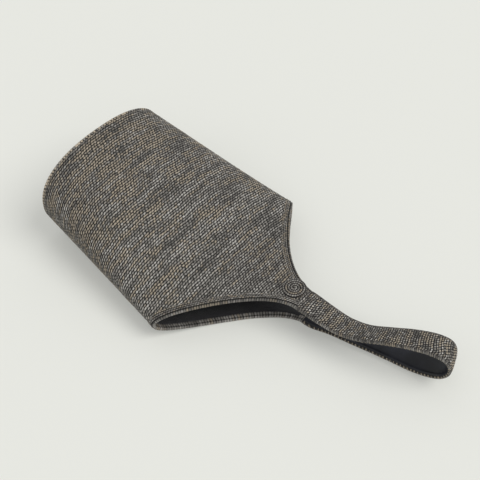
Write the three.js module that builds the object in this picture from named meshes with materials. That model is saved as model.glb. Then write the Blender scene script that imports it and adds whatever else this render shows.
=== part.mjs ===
// A raffia shoulder bag lying on its back: a woven oval tube with a flat base, whose mouth
// narrows front and back into tongues, and one wide strap that loops from tongue to tongue.
// Millimetres. +Z is up, the mouth and the strap point along -Y and X is the bag's width.
// The origin is on the surface that the bag rests on, under the middle of the tube.
import * as THREE from "three";

// Woven tube, measured to its outer face
const BASE_HALF_WIDTH = 105;
const BASE_HALF_DEPTH = 62.5;
const MOUTH_HALF_WIDTH = 134;
const MOUTH_HALF_DEPTH = 28;
const TUBE_LENGTH = 225; // from the base to the mouth's two corners
const SECTION_POWER = 2.32; // 2 is an ellipse, and more is squarer
const RESTING_FLAT = 2; // how much the back panel is pressed flat where it lies

// Tongues, from the mouth's corners to the strap
const TONGUE_LENGTH = 122;
const RIM_CURVE = 1.1; // how hollow the rim is between a corner and the strap
const FRONT_NECK_HEIGHT = 50; // the front tongue's outer face where it meets the strap
const BACK_NECK_HEIGHT = 4.4; // the back tongue's outer face there
const FRONT_LEAN = 3; // how far each tongue's end leans to +X
const BACK_LEAN = 17;
const FRONT_NECK_SLOPE = -0.03;
const BACK_RISE_LENGTH = 62; // the last stretch of the back tongue, which curls up
const BACK_RISE_CURVE = 1.25;

// Strap
const STRAP_WIDTH = 34;
const LOOP_REACH = 179; // from the tongues' ends to the loop's far side
const LOOP_DRIFT = 50.5; // how far the loop wanders to +X on its way
const LOOP_HEIGHT = 65;
const ROOT_LENGTH = 30; // the strap's stretch beside each tongue that bends when it lifts
const TWIST_UP = -0.24; // radians that the upper half is rolled, at its most
const TWIST_DOWN = 0.14; // and the lower half
const SQUARE_START = 8; // the strap leaves both tongues square for this far
const FAR_HEADING = 0.35; // how far the loop's far side is turned from square, in radians

// Layers
const WEAVE = 3;
const LINING = 1;
const LINING_GAP = 1.2; // room between weave and lining, which the snap's washers take
const STRAP_CORE = 0.8;
const BASE_BOARD = 2;
const EDGE_WIDTH = 4; // the whipped edges of the mouth and the strap
const RIM_SETBACK = 2; // the lining stops this far short of the weave's rim
const CLEARANCE = 0.3;

// Coiled disc and magnetic snap near the front tongue's end
const DISC_RADIUS = 15;
const DISC_THICKNESS = 2.4;
const DISC_SHOULDER = 0.6; // the disc's height at its edge, as a share of its thickness
const DISC_CROWN = 0.85; // how far out it keeps its full thickness, as a share of its radius
const DISC_SETBACK = 20; // from the tongue's end to the disc's centre
const DISC_OFFSET = 5; // to +X from the middle of the tongue
const SNAP_RADIUS = 9;
const SNAP_CASE_WALL = 0.6;
const MAGNET_HEIGHT = 2.4;
const MAGNET_BORE_RADIUS = 3.2;
const STUD_FLANGE = 1;
const STUD_HEIGHT = 2;
const STUD_RADIUS = 2.6;
const WASHER_RADIUS = 8;
const WASHER_BORE_RADIUS = 2;
const SNAP_CLEARANCE = 0.4; // the tongues are slightly curved, and the snap is flat
const WASHER_THICKNESS = LINING_GAP - 2 * SNAP_CLEARANCE;

// How finely curves are cut up
const RIM_STEPS = 12;
const NECK_STEPS = 2;
const TUBE_ROWS = 6;
const TUBE_ROWS_SHARE = 0.84; // of the tube's length, and the rows from there reach the rim
const TONGUE_ROWS = 8;
const LOOP_STEPS = 60;
const ROOT_STEPS = 7;
const ROUND_STEPS = 32;
const EDGE_SIDES = 8;
const SMALL_STEP = 0.001; // for slopes that are worked out from two near points

const Y_BASE = TUBE_LENGTH / 2;
const NECK_AT = TUBE_LENGTH + TONGUE_LENGTH; // distance from the base, as below
const Y_NECK = Y_BASE - NECK_AT;
const LAYERS = WEAVE + LINING_GAP + LINING;
const STRAP_THICKNESS = WEAVE + STRAP_CORE + LINING + 2 * CLEARANCE;
const NARROW_HALF = STRAP_WIDTH / 2 - EDGE_WIDTH - CLEARANCE;

const materials = {
  weave: new THREE.MeshStandardMaterial({ color: 0x6a645a, roughness: 0.85 }),
  edge: new THREE.MeshStandardMaterial({ color: 0x55504a, roughness: 0.85 }),
  lining: new THREE.MeshStandardMaterial({ color: 0x17171a, roughness: 0.75 }),
  strapLining: new THREE.MeshStandardMaterial({ color: 0x101014, roughness: 0.45 }),
  board: new THREE.MeshStandardMaterial({ color: 0x3a3a3a, roughness: 0.7 }),
  metal: new THREE.MeshStandardMaterial({ color: 0x8f8f90, roughness: 0.35, metalness: 1 }),
  magnet: new THREE.MeshStandardMaterial({ color: 0x4a4a4d, roughness: 0.5, metalness: 0.6 }),
};

const bag = new THREE.Group();

function add(name, geometry, material) {
  const mesh = new THREE.Mesh(geometry, material);
  mesh.name = name;
  bag.add(mesh);
  return mesh;
}

// A closed mesh from shared points and triangles, turned so that its faces point out
function closedMesh(points, triangles) {
  let volume = 0;
  const cross = new THREE.Vector3();
  for (const [a, b, c] of triangles) {
    volume += points[a].dot(cross.crossVectors(points[b], points[c]));
  }
  const index = volume < 0 ? triangles.map(([a, b, c]) => [a, c, b]) : triangles;
  const geometry = new THREE.BufferGeometry().setFromPoints(points);
  geometry.setIndex(index.flat());
  return geometry;
}

// Rings of equal count, joined in order by quads that are split along their shorter diagonal.
// A closed set of rings makes a torus, and an open one gets a fan of triangles at each end.
function joinRings(rings, closed) {
  const count = rings[0].length;
  const points = rings.flat();
  const triangles = [];
  const last = closed ? rings.length : rings.length - 1;
  for (let i = 0; i < last; i += 1) {
    const here = i * count;
    const there = ((i + 1) % rings.length) * count;
    for (let j = 0; j < count; j += 1) {
      const k = (j + 1) % count;
      const slant = points[here + j].distanceTo(points[there + k]);
      if (slant <= points[here + k].distanceTo(points[there + j])) {
        triangles.push([here + j, here + k, there + k], [here + j, there + k, there + j]);
      } else {
        triangles.push([here + j, here + k, there + j], [here + k, there + k, there + j]);
      }
    }
  }
  if (!closed) {
    for (const [ring, turn] of [[0, 1], [rings.length - 1, -1]]) {
      const middle = new THREE.Vector3();
      rings[ring].forEach((point) => middle.add(point));
      points.push(middle.divideScalar(count));
      for (let j = 0; j < count; j += 1) {
        const a = ring * count + j;
        const b = ring * count + ((j + 1) % count);
        triangles.push(turn > 0 ? [points.length - 1, b, a] : [points.length - 1, a, b]);
      }
    }
  }
  return closedMesh(points, triangles);
}

// The woven surface. along is the distance from the base, and angle goes round the section
// from the +X side over the front at a quarter turn to the back at three quarters.
function mix(from, to, share) {
  return from + (to - from) * share;
}

function tubeShare(along) {
  return Math.min(along / TUBE_LENGTH, 1);
}

function tongueShare(along) {
  return Math.max(along - TUBE_LENGTH, 0) / TONGUE_LENGTH;
}

function halfWidthAt(along) {
  return mix(BASE_HALF_WIDTH, MOUTH_HALF_WIDTH, tubeShare(along));
}

function halfDepthAt(along) {
  return mix(BASE_HALF_DEPTH, MOUTH_HALF_DEPTH, tubeShare(along));
}

function middleHeightAt(along) {
  return halfDepthAt(along) - RESTING_FLAT;
}

// Straight down the tube, then a cubic that ends at the neck's own height and slope
function frontHeightAt(along) {
  const atCorner = 2 * MOUTH_HALF_DEPTH - RESTING_FLAT;
  if (along <= TUBE_LENGTH) {
    return middleHeightAt(along) + halfDepthAt(along);
  }
  const t = tongueShare(along);
  const slope = (2 * (MOUTH_HALF_DEPTH - BASE_HALF_DEPTH)) / TUBE_LENGTH;
  const start = atCorner * (2 * t ** 3 - 3 * t ** 2 + 1);
  const leave = slope * TONGUE_LENGTH * (t ** 3 - 2 * t ** 2 + t);
  const end = FRONT_NECK_HEIGHT * (3 * t ** 2 - 2 * t ** 3);
  const arrive = FRONT_NECK_SLOPE * TONGUE_LENGTH * (t ** 3 - t ** 2);
  return start + leave + end + arrive;
}

function backHeightAt(along) {
  const rise = Math.max(along - (NECK_AT - BACK_RISE_LENGTH), 0) / BACK_RISE_LENGTH;
  return -RESTING_FLAT + (BACK_NECK_HEIGHT + RESTING_FLAT) * rise ** BACK_RISE_CURVE;
}

function swingAt(along, lean) {
  return lean * THREE.MathUtils.smoothstep(tongueShare(along), 0, 1);
}

function sectionPoint(angle, along) {
  const across = Math.cos(angle);
  const up = Math.sin(angle);
  const power = 2 / SECTION_POWER;
  const x = halfWidthAt(along) * Math.sign(across) * Math.abs(across) ** power;
  const middle = middleHeightAt(along);
  const edge = up > 0 ? frontHeightAt(along) : backHeightAt(along);
  const z = middle + (edge - middle) * Math.abs(up) ** power;
  const swing = swingAt(along, up > 0 ? FRONT_LEAN : BACK_LEAN);
  return new THREE.Vector3(x + swing, Y_BASE - along, Math.max(z, 0));
}

// The section's normal, pointing into the bag
function inwardAt(angle, along) {
  const way = sectionPoint(angle + SMALL_STEP, along);
  way.sub(sectionPoint(angle - SMALL_STEP, along));
  return new THREE.Vector3(-way.z, 0, way.x).normalize();
}

function layerPoint(angle, along, depth) {
  return sectionPoint(angle, along).addScaledVector(inwardAt(angle, along), depth);
}

// The weave's rim, from 0 at the neck to 1 at a corner: how far out it is, and how far along
function rimHalfWidth(t) {
  return mix(NARROW_HALF, MOUTH_HALF_WIDTH, t * t);
}

function rimAlong(t) {
  return NECK_AT - (TONGUE_LENGTH + EDGE_WIDTH) * t ** RIM_CURVE;
}

function angleOf(share) {
  return Math.acos(Math.min(share, 1) ** (SECTION_POWER / 2));
}

// One quarter of the columns that run from the base to the rim, as angle and length
function quarterColumns() {
  const columns = [];
  for (let i = 0; i < NECK_STEPS; i += 1) {
    const share = ((NARROW_HALF / MOUTH_HALF_WIDTH) * i) / NECK_STEPS;
    columns.push({ angle: angleOf(share), along: NECK_AT });
  }
  for (let i = 0; i < RIM_STEPS; i += 1) {
    const t = Math.sin((Math.PI / 2) * (i / RIM_STEPS));
    columns.push({ angle: angleOf(rimHalfWidth(t) / MOUTH_HALF_WIDTH), along: rimAlong(t) });
  }
  columns.push({ angle: 0, along: rimAlong(1) });
  return columns;
}

function allColumns() {
  const quarter = quarterColumns();
  const down = quarter.slice(0, -1);
  const up = quarter.slice(1).reverse();
  const place = (columns, turn, sign) =>
    columns.map(({ angle, along }) => ({ angle: turn + sign * angle, along }));
  return [
    ...place(up, 0, 1),
    ...place(down, Math.PI, -1),
    ...place(up, Math.PI, 1),
    ...place(down, 2 * Math.PI, -1),
  ];
}

// The rows of one column: level with its neighbours' down the tube, then spread to the rim
function rowPlaces(along) {
  const split = TUBE_LENGTH * TUBE_ROWS_SHARE;
  const rows = [];
  for (let i = 0; i < TUBE_ROWS; i += 1) {
    rows.push((split * i) / TUBE_ROWS);
  }
  for (let i = 0; i <= TONGUE_ROWS; i += 1) {
    rows.push(mix(split, along, i / TONGUE_ROWS));
  }
  return rows;
}

// A wall of the bag between two depths under its outer face. Every layer has its rows at the
// same places along a column, so that their faces stay parallel.
function wall(outer, inner, start, setback) {
  const rings = allColumns().map(({ angle, along }) => {
    const rows = rowPlaces(along).map((row) => Math.min(Math.max(row, start), along - setback));
    const outside = rows.map((row) => layerPoint(angle, row, outer));
    const inside = rows.map((row) => layerPoint(angle, row, inner));
    return [...outside, ...inside.reverse()];
  });
  return joinRings(rings, true);
}

// An oval sheet that fills the tube between two distances from the base
function ovalSheet(start, end, depth) {
  const columns = allColumns();
  const rings = [start, end].map((at) => columns.map(({ angle }) => layerPoint(angle, at, depth)));
  return joinRings(rings, false);
}

// The whipped edge along one side of the mouth, from the front neck round the corner to the
// back neck. side is 1 at +X and -1 at -X.
function mouthEdge(side) {
  const steps = 2 * RIM_STEPS;
  const placeAt = (share) => {
    const t = Math.sin(Math.PI * share);
    const angle = angleOf(rimHalfWidth(t) / MOUTH_HALF_WIDTH) * (share < 0.5 ? 1 : -1);
    return { angle: side > 0 ? angle : Math.PI - angle, along: rimAlong(t) };
  };
  const rings = [];
  for (let i = 0; i <= steps; i += 1) {
    const share = i / steps;
    const { angle, along } = placeAt(share);
    const before = placeAt(Math.max(share - SMALL_STEP, 0));
    const after = placeAt(Math.min(share + SMALL_STEP, 1));
    const way = layerPoint(after.angle, after.along, LAYERS / 2);
    way.sub(layerPoint(before.angle, before.along, LAYERS / 2)).normalize();
    const inward = inwardAt(angle, along);
    const out = new THREE.Vector3().crossVectors(inward, way).multiplyScalar(side).normalize();
    const middle = layerPoint(angle, along, LAYERS / 2);
    middle.addScaledVector(out, CLEARANCE + EDGE_WIDTH / 2);
    rings.push(roundSection(middle, out, inward, EDGE_WIDTH / 2, LAYERS / 2));
  }
  return joinRings(rings, false);
}

function roundSection(middle, first, second, firstHalf, secondHalf) {
  const ring = [];
  for (let i = 0; i < EDGE_SIDES; i += 1) {
    const turn = (2 * Math.PI * (i + 0.5)) / EDGE_SIDES;
    const point = middle.clone().addScaledVector(first, firstHalf * Math.cos(turn));
    ring.push(point.addScaledVector(second, secondHalf * Math.sin(turn)));
  }
  return ring;
}

// The strap's middle line, as shares of the loop's reach, drift and height
const frontEnd = new THREE.Vector3(FRONT_LEAN, Y_NECK, FRONT_NECK_HEIGHT - STRAP_THICKNESS / 2);
const backEnd = new THREE.Vector3(BACK_LEAN, Y_NECK, BACK_NECK_HEIGHT + STRAP_THICKNESS / 2);
const UPPER_SHAPE = [
  [0.183, 0.11, 0.65],
  [0.316, 0.16, 0.62],
  [0.449, 0.26, 0.67],
  [0.593, 0.42, 0.81],
  [0.748, 0.61, 0.94],
  [0.881, 0.79, 0.965],
  [0.964, 0.93, 0.86],
];
const LOWER_SHAPE = [
  [1, 0.99, 0.67],
  [0.995, 1, 0.48],
  [0.953, 0.99, 0.3],
  [0.864, 0.96, 0.16],
  [0.753, 0.91, 0.09],
  [0.615, 0.83, 0.088],
  [0.471, 0.73, 0.09],
  [0.327, 0.61, 0.095],
  [0.183, 0.49, 0.105],
];
function loopPoint([reach, drift, height]) {
  return new THREE.Vector3(LOOP_DRIFT * drift, Y_NECK - LOOP_REACH * reach, LOOP_HEIGHT * height);
}
const squareStart = new THREE.Vector3(0, -SQUARE_START, 0);
const loop = new THREE.CatmullRomCurve3(
  [
    frontEnd,
    frontEnd.clone().add(squareStart),
    ...[...UPPER_SHAPE, ...LOWER_SHAPE].map(loopPoint),
    backEnd.clone().add(squareStart),
    backEnd,
  ],
  false,
  "centripetal",
);
const LOOP_LENGTH = loop.getLength();

// The strap's frame at a share of its length: along it, across it and out of the loop. Across
// turns from square to the tongues, to nearly square to the loop's far side, and back.
function strapFrame(share) {
  const heading = FAR_HEADING * Math.sin(Math.PI * share) ** 2;
  const roll = (share < 0.5 ? TWIST_UP : TWIST_DOWN) * Math.sin(2 * Math.PI * share) ** 2;
  const along = loop.getTangentAt(share);
  const across = new THREE.Vector3(Math.cos(heading), Math.sin(heading), 0);
  across.multiplyScalar(Math.cos(roll)).z = Math.sin(roll);
  across.addScaledVector(along, -across.dot(along)).normalize();
  const out = new THREE.Vector3().crossVectors(along, across);
  return { middle: loop.getPointAt(share), across, out };
}

// A stretch of one strap layer. low and high are measured outwards from the middle line.
function strapLayer(from, to, steps, halfWidth, low, high) {
  const rings = [];
  for (let i = 0; i <= steps; i += 1) {
    const { middle, across, out } = strapFrame(mix(from, to, i / steps) / LOOP_LENGTH);
    const corners = [[-halfWidth, low], [halfWidth, low], [halfWidth, high], [-halfWidth, high]];
    rings.push(
      corners.map(([side, rise]) =>
        middle.clone().addScaledVector(across, side).addScaledVector(out, rise),
      ),
    );
  }
  return joinRings(rings, false);
}

function strapEdge(side) {
  const rings = [];
  const inset = STRAP_WIDTH / 2 - EDGE_WIDTH / 2;
  for (let i = 0; i <= LOOP_STEPS; i += 1) {
    const at = mix(ROOT_LENGTH, LOOP_LENGTH - ROOT_LENGTH, i / LOOP_STEPS);
    const { middle, across, out } = strapFrame(at / LOOP_LENGTH);
    middle.addScaledVector(across, side * inset);
    rings.push(roundSection(middle, across, out, EDGE_WIDTH / 2, STRAP_THICKNESS / 2));
  }
  return joinRings(rings, false);
}

// Woven body, base and lining
const BASE_STACK = WEAVE + CLEARANCE + BASE_BOARD + CLEARANCE;
const INSIDE_WEAVE = WEAVE + CLEARANCE;
add("woven_body", wall(0, WEAVE, 0, 0), materials.weave);
add("woven_base", ovalSheet(0, WEAVE, INSIDE_WEAVE), materials.weave);
add(
  "base_board",
  ovalSheet(WEAVE + CLEARANCE, WEAVE + CLEARANCE + BASE_BOARD, INSIDE_WEAVE),
  materials.board,
);
add("base_lining", ovalSheet(BASE_STACK, BASE_STACK + LINING, INSIDE_WEAVE), materials.lining);
add(
  "body_lining",
  wall(WEAVE + LINING_GAP, LAYERS, BASE_STACK + LINING + CLEARANCE, RIM_SETBACK),
  materials.lining,
);
add("mouth_edge_right", mouthEdge(1), materials.edge);
add("mouth_edge_left", mouthEdge(-1), materials.edge);

// Strap: the weave, a core and a smooth lining between two whipped edges
const INNER_FACE = -STRAP_THICKNESS / 2;
const CORE_FACE = INNER_FACE + LINING + CLEARANCE;
const WEAVE_FACE = CORE_FACE + STRAP_CORE + CLEARANCE;
const OUTER_FACE = STRAP_THICKNESS / 2;
const BACK_ROOT = LOOP_LENGTH - ROOT_LENGTH;
const BAND_LAYERS = [
  ["weave", WEAVE_FACE, OUTER_FACE, materials.weave],
  ["core", CORE_FACE, CORE_FACE + STRAP_CORE, materials.board],
  ["lining", INNER_FACE, INNER_FACE + LINING, materials.strapLining],
];
for (const [layer, low, high, material] of BAND_LAYERS) {
  const band = strapLayer(ROOT_LENGTH, BACK_ROOT, LOOP_STEPS, NARROW_HALF, low, high);
  add(`strap_${layer}`, band, material);
}
add("strap_edge_right", strapEdge(1), materials.edge);
add("strap_edge_left", strapEdge(-1), materials.edge);

// The strap's two roots carry no core, so that they bend, and their weave runs out to the sides
const ROOTS = [
  ["front", 2 * CLEARANCE, ROOT_LENGTH - CLEARANCE],
  ["back", BACK_ROOT + CLEARANCE, LOOP_LENGTH - 2 * CLEARANCE],
];
for (const [end, from, to] of ROOTS) {
  for (const [layer, low, high, material] of BAND_LAYERS) {
    if (layer !== "core") {
      const halfWidth = layer === "weave" ? STRAP_WIDTH / 2 : NARROW_HALF;
      const root = strapLayer(from, to, ROOT_STEPS, halfWidth, low, high);
      add(`strap_${layer}_root_${end}`, root, material);
    }
  }
}

// Turned pieces, whose axes are square to the tongue that they lie on
function turned(profile) {
  const points = profile.map(([radius, height]) => new THREE.Vector2(radius, height));
  const geometry = new THREE.LatheGeometry(points, ROUND_STEPS);
  geometry.deleteAttribute("uv");
  geometry.deleteAttribute("normal");
  return geometry.rotateX(Math.PI / 2);
}

const discAlong = NECK_AT - DISC_SETBACK;

// Lays a turned piece on a tongue's outer face at the disc's place. Its profile's heights point
// out of the bag, and level is how far its zero lies outside that face. out is 1 on the front
// tongue and -1 on the back one.
function seat(name, profile, material, out, level) {
  const heightAt = out > 0 ? frontHeightAt : backHeightAt;
  const rise = heightAt(discAlong - DISC_RADIUS) - heightAt(discAlong + DISC_RADIUS);
  const tilt = Math.atan(rise / (2 * DISC_RADIUS));
  const mesh = add(name, turned(profile), material);
  const normal = new THREE.Vector3(0, -Math.sin(tilt), Math.cos(tilt)).multiplyScalar(out);
  const middle = swingAt(discAlong, out > 0 ? FRONT_LEAN : BACK_LEAN);
  mesh.position.set(middle + DISC_OFFSET, Y_BASE - discAlong, heightAt(discAlong));
  mesh.position.addScaledVector(normal, level);
  mesh.rotation.x = out > 0 ? tilt : tilt + Math.PI;
}

// A ring between two radii, from a low height up to a high one
function ringProfile(bore, radius, low, high) {
  return [[bore, low], [radius, low], [radius, high], [bore, high], [bore, low]];
}

const discProfile = [
  [0, 0],
  [DISC_RADIUS, 0],
  [DISC_RADIUS, DISC_SHOULDER * DISC_THICKNESS],
  [DISC_CROWN * DISC_RADIUS, DISC_THICKNESS],
  [0, DISC_THICKNESS],
];
seat("coiled_disc", discProfile, materials.edge, 1, SNAP_CLEARANCE);

const washerProfile = ringProfile(WASHER_BORE_RADIUS, WASHER_RADIUS, -WASHER_THICKNESS, 0);
seat("snap_washer_front", washerProfile, materials.metal, 1, -WEAVE - SNAP_CLEARANCE);
seat("snap_washer_back", washerProfile, materials.metal, -1, -WEAVE - SNAP_CLEARANCE);

const caseBore = SNAP_RADIUS - SNAP_CASE_WALL;
const caseDepth = SNAP_CASE_WALL + CLEARANCE + MAGNET_HEIGHT;
const caseProfile = [
  [0, -SNAP_CASE_WALL],
  [caseBore, -SNAP_CASE_WALL],
  [caseBore, -caseDepth],
  [SNAP_RADIUS, -caseDepth],
  [SNAP_RADIUS, 0],
  [0, 0],
];
seat("snap_case", caseProfile, materials.metal, 1, -LAYERS - SNAP_CLEARANCE);

const magnetTop = -SNAP_CASE_WALL - CLEARANCE;
const magnetRadius = caseBore - CLEARANCE;
const magnetProfile = ringProfile(
  MAGNET_BORE_RADIUS,
  magnetRadius,
  magnetTop - MAGNET_HEIGHT,
  magnetTop,
);
seat("snap_magnet", magnetProfile, materials.magnet, 1, -LAYERS - SNAP_CLEARANCE);

const studProfile = [
  [0, -STUD_FLANGE - STUD_HEIGHT],
  [STUD_RADIUS, -STUD_FLANGE - STUD_HEIGHT],
  [STUD_RADIUS, -STUD_FLANGE],
  [SNAP_RADIUS, -STUD_FLANGE],
  [SNAP_RADIUS, 0],
  [0, 0],
];
seat("snap_stud", studProfile, materials.metal, -1, -LAYERS - SNAP_CLEARANCE);

export default bag;
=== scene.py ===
"""A raffia shoulder bag lying on its back, dressed in its weave, edges, lining and metal.

Metres, +Z up. The mouth and the strap point along -Y and X is the bag's width. Every piece is a
surface worked out on a grid from the bag's own sizes, and its pattern is laid out in stitches.
"""

import math

import bpy
import numpy as np
from mathutils import Matrix, Vector


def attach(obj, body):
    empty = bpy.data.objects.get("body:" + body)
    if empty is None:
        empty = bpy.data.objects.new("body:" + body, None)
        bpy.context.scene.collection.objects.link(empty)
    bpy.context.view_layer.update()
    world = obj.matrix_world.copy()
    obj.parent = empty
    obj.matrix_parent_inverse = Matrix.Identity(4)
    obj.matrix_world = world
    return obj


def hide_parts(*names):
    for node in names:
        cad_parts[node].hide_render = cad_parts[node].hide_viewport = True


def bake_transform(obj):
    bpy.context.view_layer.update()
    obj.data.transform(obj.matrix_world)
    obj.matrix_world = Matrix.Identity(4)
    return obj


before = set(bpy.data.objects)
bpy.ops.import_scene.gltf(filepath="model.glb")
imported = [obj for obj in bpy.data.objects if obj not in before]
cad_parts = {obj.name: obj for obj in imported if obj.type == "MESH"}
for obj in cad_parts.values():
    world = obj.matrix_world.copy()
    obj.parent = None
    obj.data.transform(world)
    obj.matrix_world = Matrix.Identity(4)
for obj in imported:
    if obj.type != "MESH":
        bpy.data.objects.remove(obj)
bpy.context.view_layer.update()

bl_info = {
    "name": "Raffia Shoulder Bag",
    "version": (1, 0, 0),
    "blender": (4, 5, 0),
    "location": "View3D > Sidebar > Raffia Bag",
    "description": "Weaves, lines and edges a raffia shoulder bag around its packed frame",
    "category": "Add Mesh",
}

# The bag's outer form, measured to the weave's outer face
BASE_HALF_WIDTH = 0.105
BASE_HALF_DEPTH = 0.0625
MOUTH_HALF_WIDTH = 0.134
MOUTH_HALF_DEPTH = 0.028
TUBE_LENGTH = 0.225
SECTION_POWER = 2.32
RESTING_FLAT = 0.002
TONGUE_LENGTH = 0.122
RIM_CURVE = 1.1
FRONT_NECK_HEIGHT = 0.050
BACK_NECK_HEIGHT = 0.0044
FRONT_LEAN = 0.003
BACK_LEAN = 0.017
FRONT_NECK_SLOPE = -0.03
BACK_RISE_LENGTH = 0.062
BACK_RISE_CURVE = 1.25
WEAVE = 0.003
LINING = 0.001
LINING_GAP = 0.0012
EDGE_WIDTH = 0.004
RIM_SETBACK = 0.002
CLEARANCE = 0.0003
LINING_START = 0.0069
Y_BASE = TUBE_LENGTH / 2
NECK_AT = TUBE_LENGTH + TONGUE_LENGTH
Y_NECK = Y_BASE - NECK_AT

# The strap
STRAP_WIDTH = 0.034
STRAP_THICKNESS = 0.0054
LOOP_REACH = 0.179
LOOP_DRIFT = 0.0505
LOOP_HEIGHT = 0.065
LOOP_END_GAP = 0.00005
TWIST_UP = -0.24
TWIST_DOWN = 0.14
SQUARE_START = 0.008
FAR_HEADING = 0.35
NARROW_HALF = STRAP_WIDTH / 2 - EDGE_WIDTH - CLEARANCE
FACING_HALF = NARROW_HALF + 0.0026
# The loop out and back again, in shares of its reach, drift and height
UPPER_SHAPE = (
    (0.183, 0.11, 0.65),
    (0.316, 0.16, 0.62),
    (0.449, 0.26, 0.67),
    (0.593, 0.42, 0.81),
    (0.748, 0.61, 0.94),
    (0.881, 0.79, 0.965),
    (0.964, 0.93, 0.86),
)
LOWER_SHAPE = (
    (1.0, 0.99, 0.67),
    (0.995, 1.0, 0.48),
    (0.953, 0.99, 0.3),
    (0.864, 0.96, 0.16),
    (0.753, 0.91, 0.09),
    (0.615, 0.83, 0.088),
    (0.471, 0.73, 0.09),
    (0.327, 0.61, 0.095),
    (0.183, 0.49, 0.105),
)

# The coiled disc
DISC_RADIUS = 0.015
DISC_THICKNESS = 0.0024
DISC_SETBACK = 0.020
DISC_OFFSET = 0.005

# The stitches, and how finely a stitch is cut up
BODY_ROWS = 112
STITCHES_ROUND = 120
ROW = NECK_AT / BODY_ROWS
STITCH = 0.0042
STEPS_PER_ROW = 3
STEPS_PER_STITCH = 4
LEAN = -0.45  # how far a stitch leans, in stitches
LEVEL = 0.75  # the share of a stitch's height at which it meets the weave's outer face
BASE_EDGE_ROUND = 0.0016
SMALL_ANGLE = 0.001
NUDGE = 1e-6  # keeps a point on the line between two rows or stitches in the second of them

# How each straw differs from plain raffia
STRAWS = {
    "body_straw": {"tan_share": 0.42, "light": 0.94},
    # the base's edge row is made paler: painted light on a rope whose outer side faces away from
    # the lamps
    "base_edge_straw": {"tan_share": 0.9, "light": 1.1},
    # the binding is darkened, and its row round the rim more so: painted shade where that rounded
    # row catches the light
    "binding_straw": {"tan_share": 0.9, "light": 0.88, "uneven": 0.6, "rim_shade": 0.27},
    "strap_straw": {"tan_share": 1.1, "speckle": 0.75, "apart": 0.85},
    "whipped_straw": {"tan_share": 0.8, "light": 0.66, "speckle": 0.7, "alternate": 0.85},
    "disc_straw": {"tan_share": 0.4, "light": 0.95, "uneven": 0.2},
}
# The board's and the snap's roughness, share of metal and fineness of grain
HARD_FINISHES = {
    "stiff_board": (0.8, 0.0, 300.0),
    "dark_nickel": (0.32, 1.0, 500.0),
    "magnet_iron": (0.5, 0.6, 400.0),
}
BOARD_COLOUR = (0.12, 0.12, 0.12)
MAGNET_COLOUR = (0.16, 0.16, 0.17)

# The floor as the camera sees it, how much of that is its own light, and the studio's lamps
FLOOR_SEEN = (0.783, 0.791, 0.752, 1.0)
FLOOR_GLOW = 0.3
WHITE = (1.0, 1.0, 1.0, 1.0)
SKY_STRENGTH = 0.57
# name, strength, width in degrees and the direction that it shines from
SUNS = (("key", 1.52, 38, (0.28, -0.76, 1.0)), ("fill", 0.43, 90, (-0.8, -0.3, 0.4)))


# ---- numbers on arrays ----
def mix(low, high, share):
    return low + (high - low) * share


def smooth(share):
    """An even step from 0 to 1: three times the square less twice the cube."""
    s = np.clip(share, 0, 1)
    return s * s * (3 - 2 * s)


def cubic(t, start, end, start_slope, end_slope):
    """The cubic from start to end, as t goes from 0 to 1, that has these slopes at its ends."""
    first = (2 * t**3 - 3 * t**2 + 1) * start + (t**3 - 2 * t**2 + t) * start_slope
    return first + (3 * t**2 - 2 * t**3) * end + (t**3 - t**2) * end_slope


def humps(steps, power=0.7):
    """A rounded hump for each step: the size of the sine of half a turn a step, to a power."""
    return np.abs(np.sin(np.pi * steps)) ** power


def bell(steps):
    """A bell curve that is 1 in the middle: e to the power of minus the square."""
    return np.exp(-(steps**2))


def grid(*parts):
    """Coordinates side by side, each a number or an array, as one array of points."""
    return np.stack(np.broadcast_arrays(*parts), axis=-1)


def unit(vectors):
    return vectors / np.maximum(np.linalg.norm(vectors, axis=-1, keepdims=True), 1e-12)


def travelled(points, axis=0):
    """How far along its line each point lies: the lengths of the steps up to it, added up."""
    steps = np.linalg.norm(np.diff(points, axis=axis), axis=-1)
    return np.concatenate([0 * steps.take([0], axis), np.cumsum(steps, axis=axis)], axis=axis)


# ---- the bag's outer face ----
def half_width(along):
    return mix(BASE_HALF_WIDTH, MOUTH_HALF_WIDTH, np.clip(along / TUBE_LENGTH, 0, 1))


def half_depth(along):
    return mix(BASE_HALF_DEPTH, MOUTH_HALF_DEPTH, np.clip(along / TUBE_LENGTH, 0, 1))


def tongue_share(along):
    return np.maximum(along - TUBE_LENGTH, 0) / TONGUE_LENGTH


def front_height(along):
    """The tube's straight top line, then a cubic to the front tongue's own height and slope."""
    slope = 2 * (MOUTH_HALF_DEPTH - BASE_HALF_DEPTH) / TUBE_LENGTH
    tongue = cubic(
        tongue_share(along),
        2 * MOUTH_HALF_DEPTH - RESTING_FLAT,
        FRONT_NECK_HEIGHT,
        slope * TONGUE_LENGTH,
        FRONT_NECK_SLOPE * TONGUE_LENGTH,
    )
    return np.where(along <= TUBE_LENGTH, 2 * half_depth(along) - RESTING_FLAT, tongue)


def back_height(along):
    """Flat on the surface, then up to the back tongue's end by a power of the way there."""
    rise = np.clip(along - (NECK_AT - BACK_RISE_LENGTH), 0, None) / BACK_RISE_LENGTH
    return -RESTING_FLAT + (BACK_NECK_HEIGHT + RESTING_FLAT) * rise**BACK_RISE_CURVE


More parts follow.
